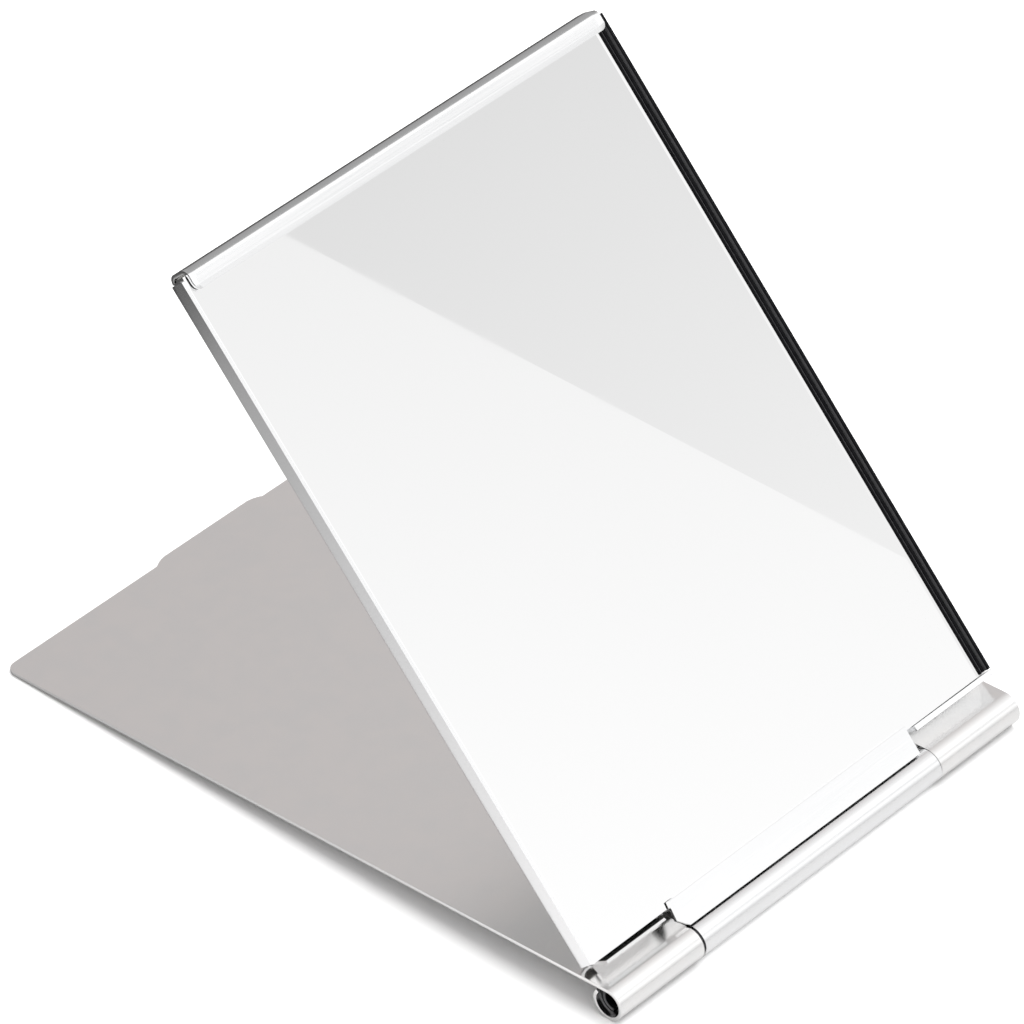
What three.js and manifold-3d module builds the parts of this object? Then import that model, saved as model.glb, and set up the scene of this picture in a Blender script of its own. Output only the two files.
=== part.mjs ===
// Folding travel mirror: a glass in a thin folded tray, hinged to a plain cover
// that swings round behind it and serves as its foot. Millimetres, +Z up,
// X along the hinge, +Y towards the back, the object standing as in use.

import * as THREE from 'three';
import { mergeVertices } from 'three/addons/utils/BufferGeometryUtils.js';
import Module from 'manifold-3d';

const wasm = await Module();
wasm.setup();

// Overall sizes
const width = 65;              // across the hinge
const coverLength = 88.4;      // hinge axis to the cover's far edge
const trayLength = 88;         // hinge axis to the outside of the top rail
const sheet = 0.45;            // aluminium sheet of the cover and the tray
const barrelRadius = 2;        // outside of the rolled hinge knuckles

// Hinge
const endKnuckle = 13.1;       // length of each knuckle on the cover
const knuckleGap = 0.2;        // end play between neighbouring knuckles
const coverNotchDepth = 4.7;   // room in the cover for the tray's knuckle
const notchCornerRadius = 0.8;
const rollAngle = 310;         // degrees of sheet round the pin
const pinClearance = 0.05;     // running fit of the pin, on the radius
const pinWall = 0.4;
const pinSlotAngle = 26;       // degrees left open in the rolled pin
const pinRecess = 0.9;         // how far the pin's ends lie inside the barrel

// Cover
const coverCornerRadius = 1.4;
const thumbTabWidth = 17;
const thumbTabReach = 0.7;
const thumbTabRamp = 1;        // length of the slope at each end of the tab
const thumbTabRadius = 1;

// Tray
const closedGap = 0.1;         // from the closed cover to the tray's lips
const sideBendRadius = 1.7;    // outside of the long side's bend
const sideRunOn = 0.5;         // the side wall runs this far past the start of the rail
const sideCornerRadius = 0.6;
const footBendRadius = 0.6;    // outside of the bend along the bottom
const footHeight = 3.99;       // hinge axis to the outside of the bottom flange
const rimStep = 0.3;           // how far the lips stand above the open rims
const railBendRadius = 1;      // outside of both bends of the top rail
const railReach = 2.6;         // width of the rail seen from the front
const railEndInset = 0.6;      // the rail's ends lie this far inside the width
const railCrimp = 0.65;        // length of the crimped edge that holds the glass
const railCrimpDegrees = 12;
const railCornerRadius = 0.7;
const cornerRelief = 0.25;     // slit that frees a bend at its end
const stopGap = 0.03;          // where the bottom bend leans on the cover

// Glass and what holds it
const glassThickness = 1.4;
const glassClearance = 0.2;
const seatClearance = 0.05;
const bevelWidth = 0.55;       // along the glass's right edge, top and bottom
const bevelDepth = 0.14;
const bluntWidth = 0.1;        // the left edge, under the wall's rim, is only blunted
const stripWidth = 1.65;       // black ribbed strip along the right side
const stripRibs = 3;
const barEar = 2;              // how far the bar reaches past the left end of the knuckle
const barEarSlope = 1.7;       // height of the slanting edge below the ear
const barShort = 1;            // how far the bar ends before the right end of the knuckle
const barLap = 0.5;            // how far the bar's lip covers the glass
const barSeam = 0.22;          // open seam between the bar and the knuckle
const tapeCount = 3;
const tapeWidth = 9;
const tapeMargin = 5;

const arcStep = THREE.MathUtils.degToRad(9);
const lap = 0.5;               // overlap where two stretches of one sheet join
const beyond = 5;              // how far a cutting shape reaches past the piece
const grid = 1e-4;             // corners lie on this grid, so joined sheets share their faces

// Levels worked out from the sizes above, measured in front of the hinge axis
const halfWidth = width / 2;
const coverInside = barrelRadius - sheet;
const backInside = -barrelRadius + sheet;
const lipFront = coverInside - closedGap;
const lipBack = lipFront - sheet;
const rimTop = lipFront - rimStep;
const crimpAngle = THREE.MathUtils.degToRad(railCrimpDegrees);
const crimpDrop = railCrimp * Math.sin(crimpAngle);
const glassFront = lipBack - crimpDrop - seatClearance;
const glassBack = glassFront - glassThickness;
const trayKnuckleHalf = halfWidth - endKnuckle - knuckleGap;
const coverNotchHalf = halfWidth - endKnuckle;
const barLeft = -trayKnuckleHalf - barEar;
const barRight = trayKnuckleHalf - barShort;
const glassBottom = footHeight + sheet + glassClearance;
const glassTop = trayLength - sheet - glassClearance;
const stripLeft = halfWidth - stripWidth;
const railStart = trayLength - railBendRadius;

// Angle between the tray and the cover when the tray's bottom bend leans on the cover
const bendReach = Math.hypot(footHeight + footBendRadius, barrelRadius - footBendRadius);
const standAngle = Math.asin((barrelRadius + footBendRadius + stopGap) / bendReach)
  + Math.atan2(barrelRadius - footBendRadius, footHeight + footBendRadius);

// The cover slopes until its far edge rests on the table with the barrel
const coverReach = coverLength + thumbTabReach;
const coverSlope = Math.asin(barrelRadius / Math.hypot(coverReach, coverInside))
  + Math.atan2(coverInside, coverReach);

// Solids

function toManifold(geometry) {
  const bare = geometry.clone();
  bare.deleteAttribute('normal');
  bare.deleteAttribute('uv');
  const merged = mergeVertices(bare, grid);
  return new wasm.Manifold(new wasm.Mesh({
    numProp: 3,
    vertProperties: Float32Array.from(merged.attributes.position.array, (v) => Math.round(v / grid) * grid),
    triVerts: new Uint32Array(merged.index.array),
  }));
}

function toGeometry(manifold) {
  const mesh = manifold.getMesh();
  const geometry = new THREE.BufferGeometry();
  geometry.setAttribute('position', new THREE.BufferAttribute(new Float32Array(mesh.vertProperties), 3));
  geometry.setIndex(new THREE.BufferAttribute(new Uint32Array(mesh.triVerts), 1));
  geometry.computeVertexNormals();
  return geometry;
}

function extrude(points, from, to, basis) {
  const geometry = new THREE.ExtrudeGeometry(new THREE.Shape(points), {
    depth: to - from,
    bevelEnabled: false,
  });
  geometry.translate(0, 0, from);
  geometry.applyMatrix4(basis);
  return toManifold(geometry);
}

// A section drawn in Y and Z, run along X
function alongX(points, from, to) {
  const basis = new THREE.Matrix4().makeBasis(
    new THREE.Vector3(0, 1, 0), new THREE.Vector3(0, 0, 1), new THREE.Vector3(1, 0, 0));
  return extrude(points, from, to, basis);
}

// A section drawn in X and Z, run along Y
function alongY(points, from, to) {
  const basis = new THREE.Matrix4().makeBasis(
    new THREE.Vector3(1, 0, 0), new THREE.Vector3(0, 0, 1), new THREE.Vector3(0, -1, 0));
  return extrude(points, -to, -from, basis);
}

// A plan drawn in X and Y, run along Z
function alongZ(points, from, to) {
  return extrude(points, from, to, new THREE.Matrix4());
}

// Outlines

// The section of a folded sheet: a centreline of straight runs and bends,
// given half the sheet's thickness on both sides
function foldedSheet(start, heading, thickness, steps) {
  const left = [];
  const right = [];
  const at = new THREE.Vector2(...start);
  let angle = THREE.MathUtils.degToRad(heading);
  const mark = () => {
    const side = new THREE.Vector2(-Math.sin(angle), Math.cos(angle)).multiplyScalar(thickness / 2);
    left.push(at.clone().add(side));
    right.unshift(at.clone().sub(side));
  };
  mark();
  for (const { run, bend, radius } of steps) {
    if (run !== undefined) {
      at.add(new THREE.Vector2(Math.cos(angle), Math.sin(angle)).multiplyScalar(run));
      mark();
      continue;
    }
    const total = THREE.MathUtils.degToRad(bend);
    const count = Math.ceil(Math.abs(total) / arcStep);
    const sign = Math.sign(total);
    const centre = new THREE.Vector2(-Math.sin(angle), Math.cos(angle))
      .multiplyScalar(sign * radius)
      .add(at);
    for (let i = 0; i < count; i += 1) {
      angle += total / count;
      at.set(Math.sin(angle), -Math.cos(angle)).multiplyScalar(sign * radius).add(centre);
      mark();
    }
  }
  return left.concat(right);
}

// A closed outline with its corners rounded; each corner is [x, y, radius]
function roundedOutline(corners) {
  const points = [];
  corners.forEach(([x, y, radius], i) => {
    const corner = new THREE.Vector2(x, y);
    const before = new THREE.Vector2(...corners.at(i - 1)).sub(corner).normalize();
    const after = new THREE.Vector2(...corners[(i + 1) % corners.length]).sub(corner).normalize();
    if (!radius) {
      points.push(corner);
      return;
    }
    const half = Math.acos(before.dot(after)) / 2;
    const setback = radius / Math.tan(half);
    const middle = before.clone().add(after)
      .setLength(radius / Math.sin(half))
      .add(corner);
    const first = before.multiplyScalar(setback).add(corner).sub(middle);
    const last = after.multiplyScalar(setback).add(corner).sub(middle);
    const sweep = Math.atan2(first.cross(last), first.dot(last));
    const count = Math.ceil(Math.abs(sweep) / arcStep);
    for (let k = 0; k <= count; k += 1) {
      points.push(first.clone().rotateAround(new THREE.Vector2(), (sweep * k) / count).add(middle));
    }
  });
  return points;
}

function rectangle(left, bottom, right, top, radius = 0) {
  return roundedOutline([
    [left, bottom, radius],
    [right, bottom, radius],
    [right, top, radius],
    [left, top, radius],
  ]);
}

// Cover: a flat sheet rolled round the pin at both ends of the hinge, with a
// notch for the tray's knuckle between them and a thumb tab on its far edge

function makeCover() {
  const section = foldedSheet([coverReach, barrelRadius - sheet / 2], 180, sheet, [
    { run: coverReach },
    { bend: rollAngle, radius: barrelRadius - sheet / 2 },
  ]);
  const tab = thumbTabWidth / 2;
  const plan = roundedOutline([
    [-halfWidth, -beyond, 0],
    [halfWidth, -beyond, 0],
    [halfWidth, coverLength, coverCornerRadius],
    [tab, coverLength, 0],
    [tab - thumbTabRamp, coverReach, thumbTabRadius],
    [thumbTabRamp - tab, coverReach, thumbTabRadius],
    [-tab, coverLength, 0],
    [-halfWidth, coverLength, coverCornerRadius],
  ]);
  const notch = rectangle(-coverNotchHalf, -2 * beyond, coverNotchHalf, coverNotchDepth, notchCornerRadius);
  return alongX(section, -halfWidth, halfWidth)
    .intersect(alongZ(plan, -beyond, beyond))
    .subtract(alongZ(notch, -beyond, beyond));
}

// Hinge pin: a slotted pin rolled from sheet, a little shorter than the barrel

function makePin() {
  const outside = barrelRadius - sheet - pinClearance;
  const section = foldedSheet([0, -outside + pinWall / 2], 0, pinWall, [
    { bend: 360 - pinSlotAngle, radius: outside - pinWall / 2 },
  ]);
  return alongX(section, -halfWidth + pinRecess, halfWidth - pinRecess);
}

// Tray: one folded sheet. Its back carries a rail over the top of the glass,
// a wall along the left side, a flange on each side of the hinge's middle
// knuckle, and that knuckle itself

function makeTray() {
  const footStart = footHeight + footBendRadius;
  const sideStart = -halfWidth + sideBendRadius;
  const railRadius = railBendRadius - sheet / 2;

  const panel = roundedOutline([
    [sideStart, footStart, 0],
    [-trayKnuckleHalf, footStart, 0],
    [-trayKnuckleHalf, 0, 0],
    [trayKnuckleHalf, 0, 0],
    [trayKnuckleHalf, footStart, 0],
    [halfWidth, footStart, 0],
    [halfWidth, railStart, railEndInset / 2],
    [sideStart, railStart, 0],
  ]);
  const back = alongZ(panel, -barrelRadius, backInside);

  const lipRun = railReach - railBendRadius - railCrimp * Math.cos(crimpAngle);
  const railSection = foldedSheet(
    [trayLength - railReach, lipFront - sheet / 2 - crimpDrop], railCrimpDegrees, sheet, [
      { run: railCrimp - sheet * Math.tan(crimpAngle / 2) },
      { bend: -railCrimpDegrees, radius: sheet },
      { run: lipRun - sheet * Math.tan(crimpAngle / 2) },
      { bend: -90, radius: railRadius },
      { run: lipFront + barrelRadius - 2 * railBendRadius },
      { bend: -90, radius: railRadius },
      { run: cornerRelief },
    ]);
  const railEnd = halfWidth - railEndInset;
  const railPlan = roundedOutline([
    [-railEnd, trayLength - railReach - lap, railCornerRadius],
    [railEnd, trayLength - railReach - lap, railCornerRadius],
    [railEnd, trayLength + beyond, 0],
    [-railEnd, trayLength + beyond, 0],
  ]);
  const rail = alongX(railSection, -railEnd, railEnd)
    .intersect(alongZ(railPlan, -beyond, beyond));

  const sideBendTop = sideBendRadius - barrelRadius;
  const sideTop = railStart + sideRunOn;
  const sideOutline = roundedOutline([
    [0, -beyond, 0],
    [sideTop, -beyond, 0],
    [sideTop, rimTop, sideCornerRadius],
    [0, rimTop, 0],
  ]);
  const sideNotch = rectangle(-width, railStart - cornerRelief, width, trayLength);
  const side = alongY(foldedSheet([-halfWidth + sheet / 2, rimTop], -90, sheet, [
    { run: rimTop + barrelRadius - sideBendRadius },
    { bend: 90, radius: sideBendRadius - sheet / 2 },
    { run: lap },
  ]), footStart, sideTop)
    .intersect(alongX(sideOutline, -width, width))
    .subtract(alongZ(sideNotch, -beyond, sideBendTop));

  const footSection = foldedSheet([footStart + lap, -barrelRadius + sheet / 2], 180, sheet, [
    { run: lap },
    { bend: -90, radius: footBendRadius - sheet / 2 },
    { run: rimTop + barrelRadius - footBendRadius },
  ]);
  const leftFoot = alongX(footSection, sideStart + cornerRelief, barLeft - cornerRelief);
  const rightFoot = alongX(footSection, trayKnuckleHalf + cornerRelief, halfWidth);

  const knuckle = alongX(foldedSheet([lap, -barrelRadius + sheet / 2], 180, sheet, [
    { run: lap },
    { bend: -rollAngle, radius: barrelRadius - sheet / 2 },
  ]), -trayKnuckleHalf, trayKnuckleHalf);

  const slit = alongZ(
    rectangle(-width, railStart - cornerRelief, sideStart, railStart), -beyond, sideBendTop);
  return [rail, side, leftFoot, rightFoot, knuckle]
    .reduce((whole, stretch) => whole.add(stretch), back)
    .subtract(slit);
}

// Bar below the glass: it fills the space down to the hinge's middle knuckle,
// hollowed underneath to clear it. Its lip holds the bottom of the glass, and its
// ear closes the space beside the left flange

function makeBar() {
  const hollow = barrelRadius + barSeam;
  const floor = backInside + seatClearance;
  const shelf = glassFront + seatClearance;
  const seat = footHeight + sheet;
  const lipEnd = glassBottom + barLap;
  const section = [
    new THREE.Vector2(lipEnd, lipFront),
    new THREE.Vector2(lipEnd, shelf),
    new THREE.Vector2(seat, shelf),
    new THREE.Vector2(seat, floor),
  ];
  const first = Math.asin(floor / hollow);
  const last = Math.asin(lipFront / hollow);
  const count = Math.ceil((last - first) / arcStep);
  for (let i = 0; i <= count; i += 1) {
    const angle = first + ((last - first) * i) / count;
    section.push(new THREE.Vector2(hollow * Math.cos(angle), hollow * Math.sin(angle)));
  }
  section.reverse();

  const low = hollow * Math.cos(last);
  const plan = roundedOutline([
    [-trayKnuckleHalf, 0, 0],
    [barRight, 0, 0],
    [barRight, lipEnd + lap, 0],
    [barLeft, lipEnd + lap, 0],
    [barLeft, low + barEarSlope, 0],
    [-trayKnuckleHalf, low, 0],
  ]);
  const underEar = alongX(rectangle(0, -beyond, lipEnd + lap, lipBack), -width, -trayKnuckleHalf);
  return alongX(section, barLeft, barRight)
    .intersect(alongZ(plan, -beyond, beyond))
    .subtract(underEar);
}

// Glass with a shallow bevel round its front

function makeGlass() {
  const left = -halfWidth + sheet + glassClearance;
  const right = stripLeft - seatClearance;
  const plan = new THREE.Shape(rectangle(left - bevelWidth + bluntWidth, glassBottom, right, glassTop));
  const bevelled = new THREE.ExtrudeGeometry(plan, {
    depth: glassThickness,
    bevelThickness: bevelDepth,
    bevelSize: bevelWidth,
    bevelOffset: -bevelWidth,
    bevelSegments: 1,
  });
  bevelled.translate(0, 0, glassFront - glassThickness - bevelDepth);
  return toManifold(bevelled)
    .intersect(alongZ(rectangle(left, 0, width, 2 * trayLength), glassBack, glassFront + beyond));
}

// Ribbed strip that closes the right side, where the glass slides in. Its outer
// rib is as high as the wall on the left

function makeStrip() {
  const rib = stripWidth / stripRibs;
  const section = [
    new THREE.Vector2(stripLeft, backInside + seatClearance),
    new THREE.Vector2(halfWidth, backInside + seatClearance),
  ];
  for (let i = stripRibs - 1; i >= 0; i -= 1) {
    const middle = stripLeft + (i + 0.5) * rib;
    const top = i === stripRibs - 1 ? rimTop - seatClearance : glassFront;
    const count = Math.ceil(Math.PI / arcStep / 2);
    for (let k = 0; k <= count; k += 1) {
      const angle = (Math.PI * k) / count;
      if (k < count || i === 0) {
        section.push(new THREE.Vector2(
          middle + (rib / 2) * Math.cos(angle), top - rib / 2 + (rib / 2) * Math.sin(angle)));
      }
    }
  }
  return alongY(section, glassBottom, railStart);
}

// Foam tape between the tray's back and the glass

function makeTape(index) {
  const left = -halfWidth + sideBendRadius + tapeMargin;
  const right = stripLeft - tapeMargin;
  const pitch = (glassTop - glassBottom) / tapeCount;
  const middle = glassBottom + (index + 0.5) * pitch;
  return alongZ(rectangle(left, middle - tapeWidth / 2, right, middle + tapeWidth / 2),
    backInside + seatClearance, glassBack - seatClearance);
}

// Finishes

const satinAluminium = { color: 0xbbb7b4, roughness: 0.38, metalness: 0.9 };
const brightAluminium = { color: 0xe6e7e8, roughness: 0.2, metalness: 0.95 };
const silveredGlass = { color: 0xf2f4f5, roughness: 0.02, metalness: 1 };
const blackRubber = { color: 0x0c0c0e, roughness: 0.45, metalness: 0 };
const springSteel = { color: 0x55565a, roughness: 0.4, metalness: 0.9 };
const whiteFoam = { color: 0xe8e6e0, roughness: 0.9, metalness: 0 };

function piece(name, solid, finish) {
  const mesh = new THREE.Mesh(toGeometry(solid), new THREE.MeshStandardMaterial(finish));
  mesh.name = name;
  return mesh;
}

// Assembly: both leaves hang on the hinge axis

const cover = new THREE.Group();
cover.add(piece('cover_plate', makeCover(), satinAluminium));
cover.add(piece('hinge_pin', makePin(), springSteel));
cover.rotation.x = -coverSlope;

const tray = new THREE.Group();
tray.add(piece('mirror_tray', makeTray(), brightAluminium));
tray.add(piece('retaining_bar', makeBar(), brightAluminium));
tray.add(piece('mirror_glass', makeGlass(), silveredGlass));
tray.add(piece('edge_strip', makeStrip(), blackRubber));
for (let i = 0; i < tapeCount; i += 1) {
  tray.add(piece(`foam_tape_${i + 1}`, makeTape(i), whiteFoam));
}
tray.rotation.x = standAngle - coverSlope;

const mirror = new THREE.Group();
mirror.add(cover, tray);

// The origin is on the table, under the middle of the standing mirror
const bounds = new THREE.Box3().setFromObject(mirror, true);
const centre = bounds.getCenter(new THREE.Vector3());
mirror.position.set(-centre.x, -centre.y, -bounds.min.z);
mirror.updateMatrixWorld(true);

export default mirror;
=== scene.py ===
import math

import bmesh
import bpy
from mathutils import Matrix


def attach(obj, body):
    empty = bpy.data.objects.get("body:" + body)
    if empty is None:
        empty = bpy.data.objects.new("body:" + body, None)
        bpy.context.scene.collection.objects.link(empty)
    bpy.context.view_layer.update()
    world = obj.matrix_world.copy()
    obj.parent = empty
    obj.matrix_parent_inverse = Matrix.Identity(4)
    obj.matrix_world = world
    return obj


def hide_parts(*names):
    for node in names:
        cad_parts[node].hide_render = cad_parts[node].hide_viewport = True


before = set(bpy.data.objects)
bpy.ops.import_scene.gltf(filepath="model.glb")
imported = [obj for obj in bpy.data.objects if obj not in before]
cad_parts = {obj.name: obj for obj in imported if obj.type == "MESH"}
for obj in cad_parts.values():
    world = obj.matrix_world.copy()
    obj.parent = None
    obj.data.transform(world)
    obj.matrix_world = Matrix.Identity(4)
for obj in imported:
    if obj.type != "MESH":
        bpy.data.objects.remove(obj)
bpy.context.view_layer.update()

# Folding travel mirror. Each leaf is modelled lying flat with the hinge along X, in
# millimetres: x along the hinge, y away from it, z up out of the leaf. placeLeaf then
# turns it on the hinge and brings it to metres.

leaf = {
    "hinge": (0, -0.0435566, 0.002),      # metres, in the frame of the CAD
    "coverTurn": -2.28264,                # degrees about X
    "trayTurn": 47.91354,
    "scale": 0.001,                       # millimetres to metres
    "halfWidth": 32.5,
    "sheet": 0.45,
    "barrelRadius": 2.0,
    "rollAngle": 310,                     # degrees of sheet round the pin
    "rollSteps": 60,
    "knuckleHalf": 19.2,                  # the tray's knuckle, between the cover's two
    "glassBottom": 4.64,
    "glassTop": 87.35,
    "glassFront": 0.815,
    "lipFront": 1.45,
    "rimTop": 1.15,
    "cornerSteps": 8,
    "edgeRound": 0.07,                    # of the cut sheet
    "edgeSteps": 2,
    "sharpAngle": 50,                     # edges that turn more than this are rounded
}
tolerance = {"same": 0.01, "merge": 0.001, "cut": 0.0001}
midRadius = leaf["barrelRadius"] - leaf["sheet"] / 2


# Small helpers

def startPiece(name):
    piece = bpy.context.object
    piece.name = name
    piece.data.name = name
    return piece


def makeActive(piece):
    bpy.ops.object.select_all(action="DESELECT")
    piece.select_set(True)
    bpy.context.view_layer.objects.active = piece


def pick(kind, test):
    # selects the vertices, edges or faces whose middle passes the test, in edit mode
    bpy.ops.mesh.select_mode(type=kind)
    bpy.ops.mesh.select_all(action="DESELECT")
    mesh = bpy.context.edit_object.data
    shape = bmesh.from_edit_mesh(mesh)
    group = {"VERT": shape.verts, "EDGE": shape.edges, "FACE": shape.faces}[kind]
    for part in group:
        if kind == "VERT":
            middle = part.co
        elif kind == "EDGE":
            middle = (part.verts[0].co + part.verts[1].co) / 2
        else:
            middle = part.calc_center_median()
        if test(middle, part):
            part.select_set(True)
    shape.select_flush_mode()
    bmesh.update_edit_mesh(mesh)


def near(a, b):
    return abs(a - b) < tolerance["same"]


def lengthwise(edge):
    # runs along y rather than across the piece
    return abs(edge.verts[0].co.y - edge.verts[1].co.y) > 0.5


def flatSheet(name, left, right, bottom, top, level):
    bpy.ops.object.select_all(action="DESELECT")
    middle = ((left + right) / 2, (bottom + top) / 2, level)
    bpy.ops.mesh.primitive_plane_add(size=1, location=middle)
    piece = startPiece(name)
    piece.scale = (right - left, top - bottom, 1)
    bpy.ops.object.transform_apply(location=True, rotation=False, scale=True)
    bpy.ops.object.mode_set(mode="EDIT")
    return piece


def block(name, left, right, bottom, top, low, high):
    bpy.ops.object.select_all(action="DESELECT")
    middle = ((left + right) / 2, (bottom + top) / 2, (low + high) / 2)
    size = (right - left, top - bottom, high - low)
    bpy.ops.mesh.primitive_cube_add(size=1, location=middle, scale=size)
    bpy.ops.object.transform_apply(location=True, rotation=False, scale=True)
    piece = startPiece(name)
    bpy.ops.object.mode_set(mode="EDIT")
    return piece


def cutAcross(axis, place):
    bpy.ops.mesh.select_all(action="SELECT")
    point = [0, 0, 0]
    normal = [0, 0, 0]
    point[axis] = place
    normal[axis] = 1
    bpy.ops.mesh.bisect(plane_co=point, plane_no=normal, threshold=tolerance["cut"])


def extrudeBy(x, y, z):
    bpy.ops.mesh.extrude_region_move(TRANSFORM_OT_translate={"value": (x, y, z)})


def moveBy(x, y, z):
    bpy.ops.transform.translate(value=(x, y, z))


def spinBy(degrees, centre, axis, steps):
    # the spin tool turns the other way round its axis
    bpy.ops.mesh.spin(steps=steps, angle=-math.radians(degrees), center=centre, axis=axis)


def roundCorners(radius):
    bpy.ops.mesh.bevel(offset=radius, segments=leaf["cornerSteps"], affect="VERTICES")


def roundEdges(radius, steps):
    bpy.ops.mesh.bevel(offset=radius, segments=steps, affect="EDGES")


def addModifier(piece, kind, **values):
    modifier = piece.modifiers.new(kind.title(), kind)
    for key, value in values.items():
        setattr(modifier, key, value)
    makeActive(piece)
    bpy.ops.object.modifier_apply(modifier=modifier.name)


def thicken(piece, thickness, edgeRound):
    # gives a mid-surface its sheet thickness and breaks the cut edges
    bpy.ops.mesh.select_all(action="SELECT")
    bpy.ops.mesh.remove_doubles(threshold=tolerance["merge"])
    bpy.ops.mesh.normals_make_consistent(inside=False)
    bpy.ops.object.mode_set(mode="OBJECT")
    addModifier(piece, "SOLIDIFY", thickness=thickness, offset=0,
                use_even_offset=True, use_quality_normals=True)
    addModifier(piece, "BEVEL", width=edgeRound, segments=leaf["edgeSteps"],
                limit_method="ANGLE", angle_limit=math.radians(leaf["sharpAngle"]),
                use_clamp_overlap=True)


def subtract(piece, cutter):
    if bpy.context.mode != "OBJECT":
        bpy.ops.object.mode_set(mode="OBJECT")
    addModifier(piece, "BOOLEAN", object=cutter, operation="DIFFERENCE", solver="EXACT")
    bpy.data.objects.remove(cutter, do_unlink=True)


def placeLeaf(piece, turn, smoothAngle=30):
    if bpy.context.mode != "OBJECT":
        bpy.ops.object.mode_set(mode="OBJECT")
    makeActive(piece)
    piece.scale = (leaf["scale"], leaf["scale"], leaf["scale"])
    piece.rotation_euler = (math.radians(turn), 0, 0)
    piece.location = leaf["hinge"]
    bpy.ops.object.transform_apply(location=True, rotation=True, scale=True)
    bpy.ops.object.mode_set(mode="EDIT")
    bpy.ops.mesh.select_all(action="SELECT")
    bpy.ops.mesh.normals_make_consistent(inside=False)
    bpy.ops.object.mode_set(mode="OBJECT")
    bpy.ops.object.shade_smooth_by_angle(angle=math.radians(smoothAngle))
    # flat faces stay flat up to their rounded edges
    addModifier(piece, "WEIGHTED_NORMAL", keep_sharp=True)


def finishPiece(piece, body, node, material):
    piece.data.materials.clear()
    piece.data.materials.append(material)
    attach(piece, body)
    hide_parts(node)
    print("made", piece.name, len(piece.data.polygons), "faces")


# Materials. Each noise is given by its scale, detail and roughness, each relief by its
# strength and its depth in metres

noiseRange = (0.3, 0.7)                   # most of a noise lies between these values


def startMaterial(name):
    material = bpy.data.materials.new(name)
    material.use_nodes = True
    nodes = material.node_tree.nodes
    links = material.node_tree.links
    shader = nodes["Principled BSDF"]
    coordinates = nodes.new("ShaderNodeTexCoord")
    return material, nodes, links, shader, coordinates


def addMapping(nodes, links, coordinates, turn=(0, 0, 0), stretch=(1, 1, 1)):
    mapping = nodes.new("ShaderNodeMapping")
    mapping.inputs["Rotation"].default_value = [math.radians(a) for a in turn]
    mapping.inputs["Scale"].default_value = stretch
    links.new(coordinates.outputs["Object"], mapping.inputs["Vector"])
    return mapping


def addNoise(nodes, links, mapping, scale, detail, roughness):
    noise = nodes.new("ShaderNodeTexNoise")
    noise.inputs["Scale"].default_value = scale
    noise.inputs["Detail"].default_value = detail
    noise.inputs["Roughness"].default_value = roughness
    links.new(mapping.outputs["Vector"], noise.inputs["Vector"])
    return noise.outputs["Fac"]


def splitVector(nodes, links, vector):
    parts = nodes.new("ShaderNodeSeparateXYZ")
    links.new(vector, parts.inputs["Vector"])
    return parts.outputs


def addRamp(nodes, links, value, stops):
    # stops are places from 0 to 1 with their colours
    ramp = nodes.new("ShaderNodeValToRGB")
    elements = ramp.color_ramp.elements
    (first, firstColour), *middle, (last, lastColour) = stops
    elements[0].position = first
    elements[0].color = (*firstColour, 1)
    elements[1].position = last
    elements[1].color = (*lastColour, 1)
    for place, colour in middle:
        elements.new(place).color = (*colour, 1)
    links.new(value, ramp.inputs["Fac"])
    return ramp.outputs["Color"]


def addRange(nodes, links, value, source, target=(0, 1)):
    spread = nodes.new("ShaderNodeMapRange")
    names = ("From Min", "From Max", "To Min", "To Max")
    for name, number in zip(names, (*source, *target)):
        spread.inputs[name].default_value = number
    links.new(value, spread.inputs["Value"])
    return spread.outputs["Result"]


def addPlaceRamp(nodes, links, value, stops):
    # stops are places along an axis, in metres, with their colours
    first = stops[0][0]
    last = stops[-1][0]
    share = addRange(nodes, links, value, (first, last))
    return addRamp(nodes, links, share, [((at - first) / (last - first), c) for at, c in stops])


def addBump(nodes, links, shader, height, strength, depth):
    bump = nodes.new("ShaderNodeBump")
    bump.inputs["Strength"].default_value = strength
    bump.inputs["Distance"].default_value = depth
    links.new(height, bump.inputs["Height"])
    links.new(bump.outputs["Normal"], shader.inputs["Normal"])


def dress(nodes, links, shader, noise, look):
    # tone, roughness and relief that follow one noise, as far as the look has them
    if "tones" in look:
        places = look.get("tonePlaces", noiseRange)
        colour = addRamp(nodes, links, noise, list(zip(places, look["tones"])))
        links.new(colour, shader.inputs["Base Color"])
    if "roughness" in look:
        roughness = addRange(nodes, links, noise, noiseRange, look["roughness"])
        links.new(roughness, shader.inputs["Roughness"])
    if "relief" in look:
        addBump(nodes, links, shader, noise, *look["relief"])


def satinAluminium():
    look = {
        "tones": ((0.94, 0.932, 0.925), (0.92, 0.92, 0.918)),
        "tonePlaces": (0.4, 0.62),
        "patches": (260, 4, 0.6),         # broad, hardly visible patches of tone
    }
    grainLook = {
        "grain": (3800, 3, 0.6),          # fine blasted grain, about a quarter millimetre
        "roughness": (0.16, 0.21),
        "relief": (0.35, 0.000001),
    }
    material, nodes, links, shader, coordinates = startMaterial("satinAluminium")
    shader.inputs["Metallic"].default_value = 1
    plain = addMapping(nodes, links, coordinates, (-leaf["coverTurn"], 0, 0))
    dress(nodes, links, shader, addNoise(nodes, links, plain, *look["patches"]), look)
    dress(nodes, links, shader, addNoise(nodes, links, plain, *grainLook["grain"]), grainLook)
    return material


def drawnMetal(name, turn, look):
    material, nodes, links, shader, coordinates = startMaterial(name)
    shader.inputs["Metallic"].default_value = 1
    drawn = addMapping(nodes, links, coordinates, (-turn, 0, 0), look["draw"])
    dress(nodes, links, shader, addNoise(nodes, links, drawn, *look["lines"]), look)
    return material


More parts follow.
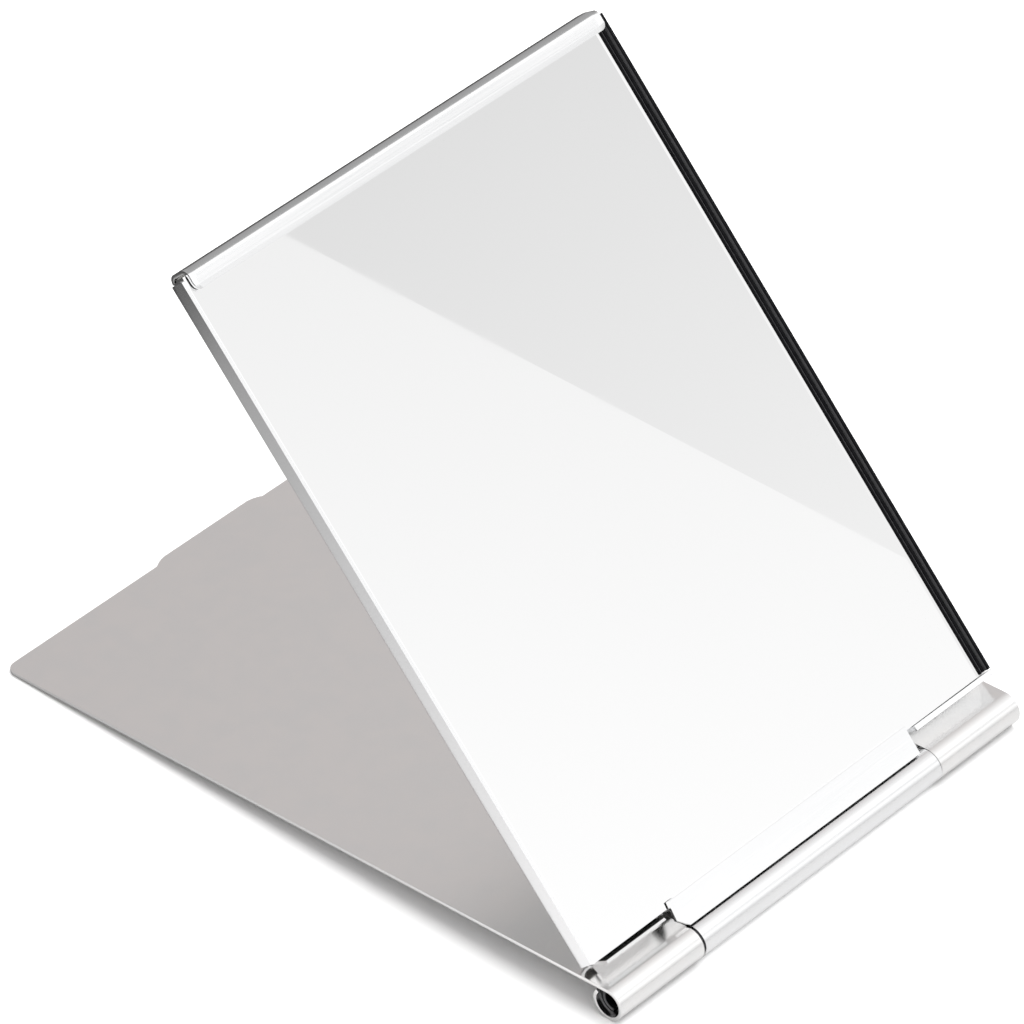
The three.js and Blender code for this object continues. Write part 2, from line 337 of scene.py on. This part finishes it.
def brightAluminium():
    return drawnMetal("brightAluminium", leaf["trayTurn"], {
        "draw": (60, 6000, 6000),         # fine lines of the rolled sheet, along X
        "lines": (1, 3, 0.6),
        "tones": ((0.91, 0.915, 0.92), (0.94, 0.94, 0.945)),
        "roughness": (0.17, 0.23),
        "relief": (0.3, 0.000001),
    })


def springSteel():
    return drawnMetal("springSteel", leaf["coverTurn"], {
        "draw": (40, 5000, 5000),
        "lines": (1, 3, 0.5),
        "tones": ((0.07, 0.07, 0.075), (0.15, 0.15, 0.155)),
        "roughness": (0.3, 0.45),
        "relief": (0.3, 0.000004),
    })


def silveredGlass():
    look = {"tint": (0.968, 0.968, 0.968), "smudges": (90, 5, 0.55), "roughness": (0, 0.02)}
    material, nodes, links, shader, coordinates = startMaterial("silveredGlass")
    shader.inputs["Metallic"].default_value = 1
    shader.inputs["Base Color"].default_value = (*look["tint"], 1)
    plain = addMapping(nodes, links, coordinates, (-leaf["trayTurn"], 0, 0))
    dress(nodes, links, shader, addNoise(nodes, links, plain, *look["smudges"]), look)
    return material


def blackStrip(left, right, lines, half):
    look = {
        "draw": (1, 0.05, 1),
        "grain": (2600, 3, 0.5),
        "rubber": ((0.002, 0.002, 0.003), (0.007, 0.007, 0.008)),
        # tone of the painted highlight lines
        "paintedHighlight": (0.13, 0.13, 0.135),
        "specular": 0.08,
        "roughness": (0.28, 0.4),
        "relief": (0.25, 0.00001),
    }
    material, nodes, links, shader, coordinates = startMaterial("blackStrip")
    shader.inputs["Specular IOR Level"].default_value = look["specular"]
    plain = addMapping(nodes, links, coordinates, (-leaf["trayTurn"], 0, 0), look["draw"])
    grain = addNoise(nodes, links, plain, *look["grain"])
    rubber = addRamp(nodes, links, grain, list(zip(noiseRange, look["rubber"])))
    dress(nodes, links, shader, grain, look)

    # painted highlights: fine light lines along the ribs, where their edges catch the light
    stops = [(left, 0)]
    for line in lines:
        stops += [(line - half, 0), (line, 1), (line + half, 0)]
    stops.append((right, 0))
    across = splitVector(nodes, links, coordinates.outputs["Object"])["X"]
    highlightShare = addPlaceRamp(nodes, links, across,
                        [(x * leaf["scale"], (share,) * 3) for x, share in stops])
    paintedHighlight = nodes.new("ShaderNodeMix")
    paintedHighlight.data_type = "RGBA"
    paintedHighlight.inputs["B"].default_value = (*look["paintedHighlight"], 1)
    links.new(highlightShare, paintedHighlight.inputs["Factor"])
    links.new(rubber, paintedHighlight.inputs["A"])
    links.new(paintedHighlight.outputs["Result"], shader.inputs["Base Color"])
    return material


def whiteFoam():
    look = {
        "cells": (3500, 4, 0.7),
        "tones": ((0.62, 0.61, 0.58), (0.86, 0.85, 0.82)),
        "relief": (0.8, 0.00008),
        "dullness": 0.9,
    }
    material, nodes, links, shader, coordinates = startMaterial("whiteFoam")
    shader.inputs["Roughness"].default_value = look["dullness"]
    plain = addMapping(nodes, links, coordinates, (-leaf["trayTurn"], 0, 0))
    dress(nodes, links, shader, addNoise(nodes, links, plain, *look["cells"]), look)
    return material


# Cover: one sheet with a thumb tab, a notch for the tray's knuckle, and both ends of its
# hinge side rolled round the pin

cover = {
    "length": 88.4,
    "cornerRadius": 1.4,
    "notchHalf": 19.4,
    "notchDepth": 4.7,
    "notchRadius": 0.8,
    "tabHalf": 8.5,
    "tabReach": 0.7,
    "tabRamp": 1.0,
    "tabRadius": 1.0,
}


def makeCover():
    half = leaf["halfWidth"]
    far = cover["length"]
    notch = cover["notchHalf"]
    tab = cover["tabHalf"]
    piece = flatSheet("coverPlate", -half, half, 0, far, midRadius)
    for place in (-notch, -tab, tab, notch):
        cutAcross(0, place)
    cutAcross(1, cover["notchDepth"])
    pick("FACE", lambda m, f: abs(m.x) < notch and m.y < cover["notchDepth"])
    bpy.ops.mesh.delete(type="FACE")
    pick("EDGE", lambda m, e: near(m.y, far) and abs(m.x) < tab)
    extrudeBy(0, cover["tabReach"], 0)
    bpy.ops.transform.resize(value=((tab - cover["tabRamp"]) / tab, 1, 1))
    bpy.ops.mesh.select_all(action="SELECT")
    bpy.ops.mesh.dissolve_limited(angle_limit=math.radians(1))
    corners = (
        (half, far, cover["cornerRadius"]),
        (notch, cover["notchDepth"], cover["notchRadius"]),
        (tab - cover["tabRamp"], far + cover["tabReach"], cover["tabRadius"]),
    )
    for x, y, radius in corners:
        pick("VERT", lambda m, v: near(abs(m.x), x) and near(m.y, y))
        roundCorners(radius)
    pick("EDGE", lambda m, e: near(m.y, 0) and abs(m.x) > notch)
    spinBy(leaf["rollAngle"], (0, 0, 0), (1, 0, 0), leaf["rollSteps"])
    thicken(piece, leaf["sheet"], leaf["edgeRound"])
    placeLeaf(piece, leaf["coverTurn"])
    finishPiece(piece, "cover", "cover_plate", satinAluminium())


makeCover()


# Hinge pin: a slotted pin rolled from sheet, inside all three knuckles

pin = {
    "outside": 1.5,
    "wall": 0.4,
    "half": 31.6,
    "start": 1,
    "slot": 26,                           # degrees left open
    "edgeRound": 0.08,
}


def makePin():
    # rolled on from a narrow starting strip, which is then deleted
    middle = pin["outside"] - pin["wall"] / 2
    piece = flatSheet("hingePin", -pin["half"], pin["half"], 0, pin["start"], -middle)
    pick("EDGE", lambda m, e: near(m.y, 0) and near(m.x, 0))
    spinBy(360 - pin["slot"], (0, 0, 0), (1, 0, 0), leaf["rollSteps"])
    pick("FACE", lambda m, f: near(m.z, -middle) and near(m.y, pin["start"] / 2))
    bpy.ops.mesh.delete(type="FACE")
    thicken(piece, pin["wall"], pin["edgeRound"])
    placeLeaf(piece, leaf["coverTurn"])
    finishPiece(piece, "cover", "hinge_pin", springSteel())


makePin()


# Tray: one sheet. Its top is rolled over the glass with a crimped edge, its left side is
# folded up, and its lower side has a flange on both sides of the rolled knuckle

tray = {
    "length": 88.0,
    "railRadius": 1.0,
    "railSteps": 12,
    "railLeft": -31.45,
    "railRight": 31.85,
    "railReach": 2.6,
    "cornerLeft": 1.0,                    # radius of the lip's corners
    "cornerRight": 0.7,
    "nip": 1.0,                           # length of the rail's right end that is nipped in
    "nipTo": 0.62,
    "crimp": 0.65,
    "crimpAngle": 12,
    "crimpRound": 0.08,
    "sideRadius": 1.7,
    "sideSteps": 14,
    "sideTop": 87.2,
    "sideCorner": 1.1,
    "sideSlit": 0.06,                     # between the side's bend and the rail's
    "footRadius": 0.6,
    "footSteps": 10,
    "footHeight": 3.99,
    "leftFlange": {"lean": 10.5, "flareOut": 0.18, "flareUp": 0.1},
    "rightFlange": {"lean": -1.5, "flareOut": 0.38, "flareUp": 0.1},
    "flangeEnds": (-21.45, 19.45),        # beside the bar and beside the knuckle
    "sideRelief": 0.25,                   # between the side's bend and the left flange
    "knuckle": (-19.1, 19.3),
}
trayMetal = brightAluminium()             # the bar is made of it too


def foldRail(level, top):
    # two bends over the glass, then the lip with its crimped edge
    inset = leaf["sheet"] / 2
    left = tray["railLeft"]
    right = tray["railRight"]
    bend = tray["railRadius"] - inset
    rise = leaf["lipFront"] + leaf["barrelRadius"] - 2 * tray["railRadius"]
    lipLevel = leaf["lipFront"] - inset
    lipEdge = tray["length"] - tray["railReach"]
    fold = lipEdge + tray["crimp"]
    pick("EDGE", lambda m, e: near(m.y, top) and m.x < right)
    spinBy(90, (0, top, level + bend), (1, 0, 0), tray["railSteps"])
    extrudeBy(0, 0, rise)
    spinBy(90, (0, top, level + bend + rise), (1, 0, 0), tray["railSteps"])
    extrudeBy(0, lipEdge - top, 0)
    for corner, radius in ((left, tray["cornerLeft"]), (right, tray["cornerRight"])):
        pick("VERT", lambda m, v: near(m.y, lipEdge) and near(m.z, lipLevel) and near(m.x, corner))
        roundCorners(radius)
    cutAcross(1, fold)
    pick("VERT", lambda m, v: m.y < fold - tolerance["same"] and near(m.z, lipLevel))
    bpy.ops.transform.rotate(value=-math.radians(tray["crimpAngle"]), orient_axis="X",
                             center_override=(0, fold, lipLevel))
    pick("EDGE", lambda m, e: near(m.y, fold) and near(m.z, lipLevel))
    roundEdges(tray["crimpRound"], leaf["edgeSteps"])

    # the right end is nipped in
    cutAcross(0, right - tray["nip"])
    pick("VERT", lambda m, v: near(m.x, right) and m.y > top)
    bpy.ops.transform.resize(value=(1, tray["nipTo"], 1), center_override=(right, top, 0))


def foldSide(level, top, side):
    # the wall on the left, which runs on past the end of the rail
    inset = leaf["sheet"] / 2
    bend = tray["sideRadius"] - inset
    slit = top - tray["sideSlit"]
    wall = side - bend
    rim = leaf["rimTop"]
    pick("FACE", lambda m, f: m.x < side and m.y < top and near(m.z, level))
    bpy.ops.mesh.delete(type="FACE")
    pick("EDGE", lambda m, e: near(m.x, side) and m.y < slit and near(m.z, level))
    spinBy(90, (side, 0, level + bend), (0, 1, 0), tray["sideSteps"])
    extrudeBy(0, 0, rim - (level + bend))
    pick("EDGE", lambda m, e: near(m.x, wall) and near(m.y, slit) and m.z > level + bend)
    extrudeBy(0, tray["sideTop"] - slit, 0)
    pick("VERT", lambda m, v: near(m.x, wall) and near(m.y, tray["sideTop"]) and near(m.z, rim))
    roundCorners(tray["sideCorner"])


def foldFlange(level, foot, left, right, shape):
    bend = tray["footRadius"] - leaf["sheet"] / 2
    rise = leaf["rimTop"] - (level + bend) - shape["flareUp"]
    pick("EDGE", lambda m, e: near(m.y, foot) and near(m.z, level) and left < m.x < right)
    spinBy(shape["lean"] - 90, (0, foot, level + bend), (1, 0, 0), tray["footSteps"])
    extrudeBy(0, -rise * math.tan(math.radians(shape["lean"])), rise)
    extrudeBy(0, -shape["flareOut"], shape["flareUp"])


def rollKnuckle(level, foot):
    left, right = tray["knuckle"]
    pick("EDGE", lambda m, e: near(m.y, foot) and near(m.z, level) and left < m.x < right)
    extrudeBy(0, -foot, 0)
    spinBy(-leaf["rollAngle"], (0, 0, 0), (1, 0, 0), leaf["rollSteps"])


def makeTray():
    half = leaf["halfWidth"]
    level = -midRadius
    foot = tray["footHeight"] + tray["footRadius"]
    top = tray["length"] - tray["railRadius"]
    side = -half + tray["sideRadius"]
    flangeStart = side + tray["sideRelief"]
    leftEnd, rightEnd = tray["flangeEnds"]
    piece = flatSheet("mirrorTray", tray["railLeft"], half, foot, top, level)
    for place in (side, flangeStart, leftEnd, *tray["knuckle"], rightEnd, tray["railRight"]):
        cutAcross(0, place)
    cutAcross(1, top - tray["sideSlit"])
    foldRail(level, top)
    foldSide(level, top, side)
    foldFlange(level, foot, flangeStart, leftEnd, tray["leftFlange"])
    foldFlange(level, foot, rightEnd, half, tray["rightFlange"])
    rollKnuckle(level, foot)
    thicken(piece, leaf["sheet"], leaf["edgeRound"])
    placeLeaf(piece, leaf["trayTurn"])
    finishPiece(piece, "tray", "mirror_tray", trayMetal)


makeTray()


# Bar below the glass, hollowed to clear the knuckle, with an ear beside the left flange

bar = {
    "left": -20.7,
    "leftSlant": 0.5,                     # its left end leans over this much towards the glass
    "right": 18.2,
    "bottom": 1.2,
    "top": 5.14,
    "low": -1.5,
    "seat": 4.44,
    "shelf": 0.82,
    "hollow": 2.22,
    "hollowSteps": 96,
    "earLow": 1.0,
    "earSlope": 1.7,
    "edgeRound": 0.1,
    "edgeSteps": 3,
    "edgeTurn": 0.6,                      # radians; the face's edges that turn more are rounded
    "cutSide": 45,                        # how far the cutting shapes reach sideways,
    "cutFar": 8,                          # away from the hinge
    "cutDeep": -5,                        # and down
}


def makeBar():
    high = leaf["lipFront"]
    knuckle = leaf["knuckleHalf"]
    side = bar["cutSide"]
    far = bar["cutFar"]
    deep = bar["cutDeep"]
    piece = block("retainingBar", bar["left"], bar["right"], bar["bottom"], bar["top"],
                  bar["low"], high)
    pick("VERT", lambda m, v: near(m.x, bar["left"]) and near(m.y, bar["top"]))
    moveBy(bar["leftSlant"], 0, 0)

    # the slanting edge below the ear
    hollowTop = math.sqrt(bar["hollow"] ** 2 - high ** 2)
    bpy.ops.mesh.select_all(action="SELECT")
    bpy.ops.mesh.bisect(plane_co=(-knuckle, hollowTop, 0),
                        plane_no=(-bar["earSlope"], bar["left"] + knuckle, 0),
                        use_fill=True, clear_outer=True, threshold=tolerance["cut"])
    bpy.ops.object.mode_set(mode="OBJECT")
    subtract(piece, block("shelfCutter", -side, side, bar["seat"], far, deep, bar["shelf"]))
    subtract(piece, block("earCutter", -side, -knuckle, deep, far, deep, bar["earLow"]))
    bpy.ops.object.select_all(action="DESELECT")
    bpy.ops.mesh.primitive_cylinder_add(vertices=bar["hollowSteps"], radius=bar["hollow"],
                                        depth=2 * side, rotation=(0, math.radians(90), 0))
    subtract(piece, bpy.context.object)
    makeActive(piece)
    bpy.ops.object.mode_set(mode="EDIT")
    pick("EDGE", lambda m, e: near(m.z, high) and near(e.verts[0].co.z, high)
         and e.calc_face_angle(0) > bar["edgeTurn"])
    roundEdges(bar["edgeRound"], bar["edgeSteps"])
    placeLeaf(piece, leaf["trayTurn"])
    finishPiece(piece, "tray", "retaining_bar", trayMetal)


makeBar()


# Glass, bevelled along its right edge and only blunted under the wall on its left

glass = {
    "left": -31.85,
    "right": 31.06,
    "bottom": 4.57,
    "askew": 0.15,                        # its bottom edge is this much lower at the left
    "thickness": 1.4,
    "bevel": (0.6, 0.15),                 # width and depth
    "blunt": (0.1, 0.025),
    "smoothAngle": 2,
}


def makeGlass():
    front = leaf["glassFront"]
    piece = block("mirrorGlass", glass["left"], glass["right"], glass["bottom"],
                  leaf["glassTop"], front - glass["thickness"], front)
    cutAcross(0, glass["right"] - glass["bevel"][0])
    cutAcross(0, glass["left"] + glass["blunt"][0])
    for place, depth in ((glass["right"], glass["bevel"][1]), (glass["left"], glass["blunt"][1])):
        pick("EDGE", lambda m, e: near(m.x, place) and near(m.z, front))
        moveBy(0, 0, -depth)
    pick("VERT", lambda m, v: near(m.y, glass["bottom"]) and m.x < 0)
    moveBy(0, -glass["askew"], 0)
    placeLeaf(piece, leaf["trayTurn"], glass["smoothAngle"])
    finishPiece(piece, "tray", "mirror_glass", silveredGlass())


makeGlass()


# Black strip with three ribs, along the side where the glass slides in

strip = {
    "left": 31.11,
    "right": 32.5,
    "top": 87.0,
    "low": -1.5,
    "ribs": 3,
    "groove": 0.25,
    "round": 0.17,
    "roundSteps": 6,
    "smoothAngle": 40,
    "outerTop": 1.1,                      # the outer rib is as high as the wall on the left
    # where the painted highlight lines lie, and their half width
    "highlightLines": (31.4, 32.02),
    "highlightHalf": 0.06,
}


def makeStrip():
    front = leaf["glassFront"]
    left = strip["left"]
    right = strip["right"]
    high = strip["outerTop"]
    piece = block("edgeStrip", left, right, leaf["glassBottom"], strip["top"], strip["low"], front)
    pitch = (right - left) / strip["ribs"]
    for i in range(1, 2 * strip["ribs"]):
        cutAcross(0, left + i * pitch / 2)
    pick("FACE", lambda m, f: m.x > right - pitch and near(m.z, front))
    extrudeBy(0, 0, high - front)
    for i in range(1, strip["ribs"]):
        place = left + i * pitch
        pick("EDGE", lambda m, e: near(m.x, place) and near(m.z, front) and lengthwise(e))
        moveBy(0, 0, -strip["groove"])
    pick("EDGE", lambda m, e: (near(m.z, front) or near(m.z, high)) and lengthwise(e)
         and m.x < right - tolerance["same"])
    roundEdges(strip["round"], strip["roundSteps"])
    placeLeaf(piece, leaf["trayTurn"], strip["smoothAngle"])
    finishPiece(piece, "tray", "edge_strip",
                blackStrip(left, right, strip["highlightLines"], strip["highlightHalf"]))


makeStrip()


# Foam tape behind the glass

tape = {
    "left": -25.8,
    "right": 25.7,
    "low": -1.5,
    "high": -0.635,
    "width": 9,
    "count": 3,
    "edgeRound": 0.15,
    "edgeSteps": 3,
}


def makeTapes():
    foam = whiteFoam()
    pitch = (leaf["glassTop"] - leaf["glassBottom"]) / tape["count"]
    for i in range(tape["count"]):
        middle = leaf["glassBottom"] + (i + 0.5) * pitch
        piece = block("foamTape" + str(i + 1), tape["left"], tape["right"],
                      middle - tape["width"] / 2, middle + tape["width"] / 2,
                      tape["low"], tape["high"])
        bpy.ops.mesh.select_all(action="SELECT")
        roundEdges(tape["edgeRound"], tape["edgeSteps"])
        placeLeaf(piece, leaf["trayTurn"])
        finishPiece(piece, "tray", "foam_tape_" + str(i + 1), foam)


makeTapes()


# Studio: a white floor lit from above, a darker one that only reflections show, with painted
# shade in front of the knuckle and behind the mirror, soft surroundings that are darker behind
# the mirror, two cards that the glass reflects and one for the bend of the rail

studio = {
    "floorSize": 12,
    "floorTones": ((0.92, 0.92, 0.92), (0.93, 0.93, 0.93)),
    "fibres": (300, 4, 0.5),
    "dullness": 0.9,
    "floorSheen": 0.1,
    # the darker floor's tones are painted shade: darker in front of the knuckle and behind the
    # mirror
    "reflectedShadeTones": (                   # place along Y and tone of the darker floor
        (-0.06, 0.5),
        (-0.046, 0.53),
        (-0.036, 0.66),
        (0.067, 0.21),
        (0.08, 0.05),
    ),
    "reflectedLift": 0.00002,
    "brightness": 1.15,
    "front": (1, 1, 1),                   # colour of the surroundings ahead
    "back": (0.4, 0.375, 0.371),          # and behind the mirror
    "turnover": (-0.3, 0.75),             # where along Y one becomes the other
    "low": 0.55,                          # the surroundings are dimmer at the horizon
    "lift": (0, 0.35),                    # and reach their brightness at this height
    "lamp": {"turn": (4, 20, 0), "energy": 2.6, "spread": 55},
    "blockers": ("coverPlate", "hingePin", "retainingBar"),
}


def onlyReflected(piece):
    piece.visible_camera = False
    piece.visible_diffuse = False
    piece.visible_shadow = False


def startFloor(name, paper, level, sheen):
    bpy.ops.object.select_all(action="DESELECT")
    bpy.ops.mesh.primitive_plane_add(size=studio["floorSize"], location=(0, 0, level))
    floor = startPiece(name)
    material, nodes, links, shader, coordinates = startMaterial(paper)
    shader.inputs["Roughness"].default_value = studio["dullness"]
    shader.inputs["Specular IOR Level"].default_value = sheen
    floor.data.materials.append(material)
    return floor, nodes, links, shader, coordinates


def makeFloor():
    started = startFloor("studioFloor", "palePaper", 0, studio["floorSheen"])
    floor, nodes, links, shader, coordinates = started
    fibres = addNoise(nodes, links, addMapping(nodes, links, coordinates), *studio["fibres"])
    dress(nodes, links, shader, fibres, {"tones": studio["floorTones"]})
    floor.visible_glossy = False


def makeReflectedFloor():
    started = startFloor("reflectedFloor", "shadePaintedPaper", studio["reflectedLift"], 0)
    floor, nodes, links, shader, coordinates = started
    depth = splitVector(nodes, links, coordinates.outputs["Object"])["Y"]
    # painted shade: the tone drops in front of the knuckle and behind the mirror
    stops = [(place, (tone,) * 3) for place, tone in studio["reflectedShadeTones"]]
    links.new(addPlaceRamp(nodes, links, depth, stops), shader.inputs["Base Color"])
    onlyReflected(floor)


def makeSurroundings():
    world = bpy.data.worlds.new("studioWorld")
    bpy.context.scene.world = world
    world.use_nodes = True
    nodes = world.node_tree.nodes
    links = world.node_tree.links
    background = nodes["Background"]
    coordinates = nodes.new("ShaderNodeTexCoord")
    parts = splitVector(nodes, links, coordinates.outputs["Generated"])
    stops = list(zip(studio["turnover"], (studio["front"], studio["back"])))
    links.new(addPlaceRamp(nodes, links, parts["Y"], stops), background.inputs["Color"])
    bright = studio["brightness"]
    strength = addRange(nodes, links, parts["Z"], studio["lift"], (studio["low"] * bright, bright))
    links.new(strength, background.inputs["Strength"])


def makeLamp():
    lamp = studio["lamp"]
    bpy.ops.object.light_add(type="SUN", location=(0, 0, 1),
                             rotation=[math.radians(a) for a in lamp["turn"]])
    light = bpy.context.object
    light.name = "softOverheadLamp"
    light.data.energy = lamp["energy"]
    light.data.angle = math.radians(lamp["spread"])
    light.visible_glossy = False

    # only the foot keeps this lamp from the floor: the cover, the pin and the bar
    blockers = bpy.data.collections.new("lampBlockers")
    for name in studio["blockers"]:
        blockers.objects.link(bpy.data.objects[name])
    light.light_linking.blocker_collection = blockers


# Cards face the mirror; width and height in metres, slope is the change of brightness
# for each metre, in the direction slopeTurn on the card

cards = {
    "whiteCard": {
        "place": (0.70599, -0.80425, 0.59904), "turn": (117.985, 0, -138.223), "spin": 0,
        "size": (0.215, 0.235), "shift": (0.003, 0.005),
        "brightness": 0.954, "slope": -0.719, "slopeTurn": -50.3,
    },
    "greyCard": {
        "place": (0.7054, -0.8036, 0.59857), "turn": (117.985, 0, -138.223), "spin": -4.98,
        "size": (0.09, 0.24), "shift": (-0.0649, 0.005),
        "brightness": 0.853, "slope": -0.841, "slopeTurn": -28.3,
    },
    "railCard": {
        "place": (0.0104, 0.023, 0.0788), "turn": (-35.8, 0, 0), "spin": 0,
        "size": (0.09, 0.031), "shift": (0, 0),
        "brightness": 0.37, "slope": -3, "slopeTurn": 0,
    },
}


def makeCard(name):
    look = cards[name]
    bpy.ops.object.select_all(action="DESELECT")
    bpy.ops.mesh.primitive_plane_add(size=1)
    card = startPiece(name)
    bpy.ops.object.mode_set(mode="EDIT")
    bpy.ops.transform.resize(value=(*look["size"], 1))
    moveBy(*look["shift"], 0)
    bpy.ops.object.mode_set(mode="OBJECT")
    card.rotation_euler = [math.radians(a) for a in look["turn"]]
    card.rotation_euler.rotate_axis("Z", math.radians(look["spin"]))
    card.location = look["place"]
    material, nodes, links, shader, coordinates = startMaterial(name)
    nodes.remove(shader)
    glow = nodes.new("ShaderNodeEmission")
    mapping = addMapping(nodes, links, coordinates, (0, 0, look["slopeTurn"]))
    along = splitVector(nodes, links, mapping.outputs["Vector"])["Y"]
    level = nodes.new("ShaderNodeMath")
    level.operation = "MULTIPLY_ADD"
    level.inputs[1].default_value = look["slope"]
    level.inputs[2].default_value = look["brightness"]
    links.new(along, level.inputs[0])
    links.new(level.outputs["Value"], glow.inputs["Strength"])
    links.new(glow.outputs["Emission"], nodes["Material Output"].inputs["Surface"])
    card.data.materials.append(material)
    onlyReflected(card)


makeFloor()
makeReflectedFloor()
makeSurroundings()
makeLamp()
for cardName in cards:
    makeCard(cardName)

camera = {
    "place": (-0.510022, -0.476649, 0.562588),
    "turn": (52.4246, 1.0743, -47.8487),
    "lens": 289.0,
    "sensor": 36,
    "nearest": 0.01,
}


def makeCamera():
    data = bpy.data.cameras.new("photoCamera")
    data.lens = camera["lens"]
    data.sensor_width = camera["sensor"]
    data.clip_start = camera["nearest"]
    holder = bpy.data.objects.new("photoCamera", data)
    holder.location = camera["place"]
    holder.rotation_euler = [math.radians(a) for a in camera["turn"]]
    bpy.context.scene.collection.objects.link(holder)
    bpy.context.scene.camera = holder


makeCamera()
bpy.context.scene.view_settings.view_transform = "Standard"
print("studio ready")
